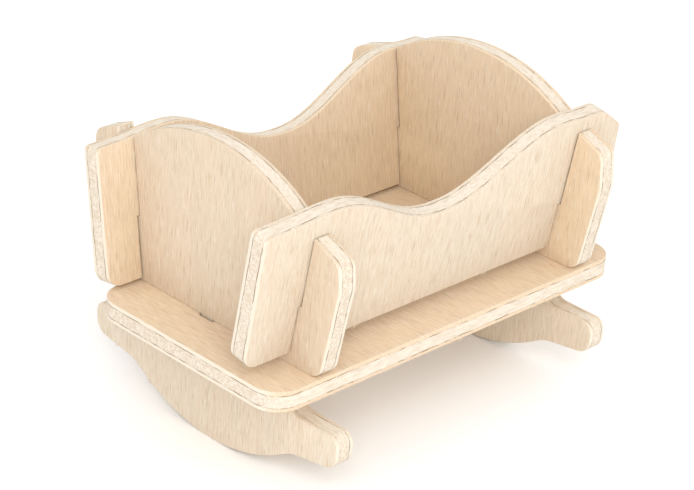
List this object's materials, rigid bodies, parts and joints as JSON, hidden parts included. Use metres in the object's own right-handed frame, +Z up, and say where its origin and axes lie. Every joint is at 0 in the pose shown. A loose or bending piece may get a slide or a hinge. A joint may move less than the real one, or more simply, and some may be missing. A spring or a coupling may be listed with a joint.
{
  "type": "baby cradle",
  "caption": "Miniature slot-together plywood rocking cradle with arched end panels, wavy leaning sides, a flat floor board and curved rockers.",
  "frame": {"origin": "on the floor under the lowest point of the rockers, midway along the length", "axes": "+X towards the headboard, +Z up, -Y is the front, where the floor board's ledge is wider"},
  "size_m": [0.0714, 0.0509, 0.0445],
  "materials": {
    "veneer": "bare sanded light veneer",
    "core": "bare sawn end grain"
  },
  "bodies": {
    "root": {"board_top_veneer": "veneer", "board_core": "core", "board_bottom_veneer": "veneer", "footboard_outer_veneer": "veneer", "footboard_core": "core", "footboard_inner_veneer": "veneer", "headboard_outer_veneer": "veneer", "headboard_core": "core", "headboard_inner_veneer": "veneer", "front_side_outer_veneer": "veneer", "front_side_core": "core", "front_side_inner_veneer": "veneer", "back_side_outer_veneer": "veneer", "back_side_core": "core", "back_side_inner_veneer": "veneer", "foot_rocker_outer_veneer": "veneer", "foot_rocker_core": "core", "foot_rocker_inner_veneer": "veneer", "head_rocker_outer_veneer": "veneer", "head_rocker_core": "core", "head_rocker_inner_veneer": "veneer"}
  },
  "joints": []
}
